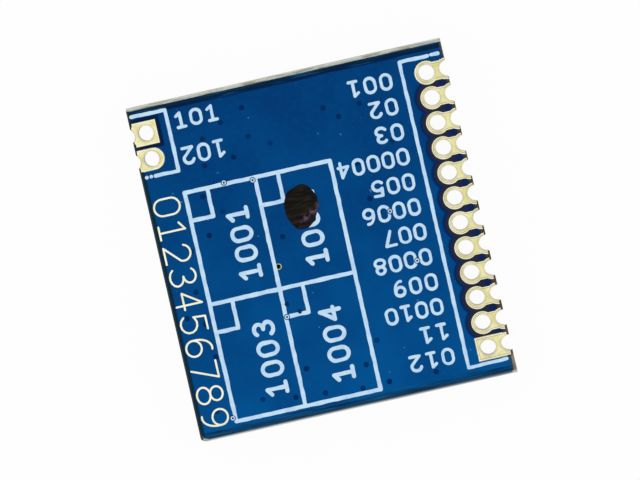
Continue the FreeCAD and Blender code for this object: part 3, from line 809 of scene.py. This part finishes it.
ceramic = Finish("crystal_ceramic", Roughness=0.55)
ceramic.feed(Base_Color=ceramic.blend(ceramic.grain(12.0), tint(92, 84, 76), tint(118, 110, 100)))
dress(ceramic, "crystal_base")
ease(0.02, "crystal_base")
lid = Finish("crystal_cover", Metallic=1.0)
rolled = lid.grain(4.0, (0.6, 9.0, 1.0), 4.0)
lid.feed(Base_Color=rolled.shades(tint(196, 194, 188), tint(222, 220, 214)), Roughness=0.26 + 0.2 * rolled)
lid.relief(rolled, 0.003)
dress(lid, "crystal_lid")


# Two-ended parts. Fired ceramic bodies with a tinned cap at each end: pale inductors, tan capacitors and
# a resistor glazed black on its outer face. Both ends are soldered to the board.

body_colours = {"inductor": (tint(176, 184, 186), tint(202, 208, 208)),
                "capacitor": (tint(160, 122, 84), tint(186, 148, 106)),
                "resistor": (tint(24, 24, 27), tint(46, 46, 50))}


def two_ended_finish(name, axis, dark, light):
    part = Finish(name)
    own = part.node("TexCoord", {}, {}, "Generated")
    along = part.node("SeparateXYZ", {}, {0: own}, axis)
    cap = abs(along - 0.5).rise(0.272, 0.288)
    grain = part.grain(18.0)
    metal = grain.shades(tint(184, 184, 182), tint(216, 216, 214))
    colour = part.blend(cap, grain.shades(dark, light), metal)
    part.feed(Base_Color=colour, Metallic=cap, Roughness=0.5 - 0.1 * cap)
    part.relief(grain, 0.004)
    return part


coats = {(kind, axis): two_ended_finish(kind + "_along_" + axis.lower(), axis, *body_colours[kind])
         for kind in small_parts for axis in "XY"}
for node in two_ended:
    _, wide, high = footprint(node)
    dress(coats[node[:-3], "X" if wide > high else "Y"], node)
ease(0.03, *two_ended)


# Solder. Reflowed paste joins every terminal to its land, in a fillet that climbs the terminal's end.
# It is bright and a little uneven.

solder = Finish("reflowed_solder", Metallic=1.0, Roughness=0.3)
ripple = solder.grain(5.0, detail=2.0)
solder.feed(Base_Color=ripple.shades(tint(178, 180, 184), tint(214, 216, 218)))
solder.relief(ripple, 0.01)
dress(solder, "solder_joints")


# Stage. The module lies on white paper under soft light from all round, and the camera looks straight
# down on it, leaning a little to the top and right of the picture.

def background_rays(stage):
    """1 for what the camera sees itself or by way of metal or glass, and 0 for the light on the module."""
    direct, mirrored, through = [stage.node("LightPath", {}, {}, "Is %s Ray" % kind)
                                 for kind in ("Camera", "Glossy", "Transmission")]
    return (direct + mirrored + through).least(1.0)


paper = Finish("white_paper", Base_Color=(0.9, 0.9, 0.9, 1), Roughness=0.9)
matt, glow = Value(paper, paper.skin.outputs[0]), paper.node("Emission", {}, {})
both = paper.node("MixShader", {}, {0: background_rays(paper) * 0.95, 1: matt, 2: glow})
paper.plug(both, paper.tree.nodes["Material Output"].inputs["Surface"])
floor_half = 0.3
mesh = bpy.data.meshes.new("floor")
floor_corners = rectangle(-floor_half, floor_half, -floor_half, floor_half)
mesh.from_pydata([(x, y, 0) for x, y in floor_corners], [], [(0, 1, 2, 3)])
mesh.materials.append(paper.look)
floor = bpy.data.objects.new("floor", mesh)
bpy.context.scene.collection.objects.link(floor)
floor.location.z = -0.00001

sky = Finish("studio", bpy.data.worlds, "Background", Color=(1, 1, 1, 1))
sky.feed(Strength=0.85 + 0.15 * background_rays(sky))
bpy.context.scene.world = sky.look
lamp = bpy.data.lights.new("key", "AREA")
lamp.size = 0.12
lamp.energy = 0.014
lamp_place = Vector((-0.06, 0.07, 0.12))
key = bpy.data.objects.new("key", lamp)
bpy.context.scene.collection.objects.link(key)
key.location = lamp_place
key.rotation_euler = lamp_place.to_track_quat("Z", "Y").to_euler()

picture_width, pixels_per_mm, sensor_width = 640, 20.168, 36.0
lean, lean_right, lean_up = math.radians(3.5), 0.45, 0.9
right = Vector((0.9755, -0.2200, 0.0))
up = Vector((0.2200, 0.9755, 0.0))
sideways = right * math.sin(lean) * lean_right + up * math.sin(lean) * lean_up
toward = (sideways + Vector((0, 0, math.cos(lean)))).normalized()
across = (right - toward * right.dot(toward)).normalized()
upward = toward.cross(across)
target = Vector((-0.000067, 0.000061, 0.00192))
distance = 0.25
camera = bpy.data.objects.new("camera", bpy.data.cameras.new("camera"))
bpy.context.scene.collection.objects.link(camera)
camera.matrix_world = Matrix((across, upward, toward)).transposed().to_4x4()
camera.location = target + toward * distance
camera.data.sensor_width = sensor_width
camera.data.lens = sensor_width * distance / (picture_width / pixels_per_mm / 1000)
camera.data.clip_start = 0.01
camera.data.clip_end = 5.0
bpy.context.scene.camera = camera
bpy.context.scene.view_settings.view_transform = "Standard"
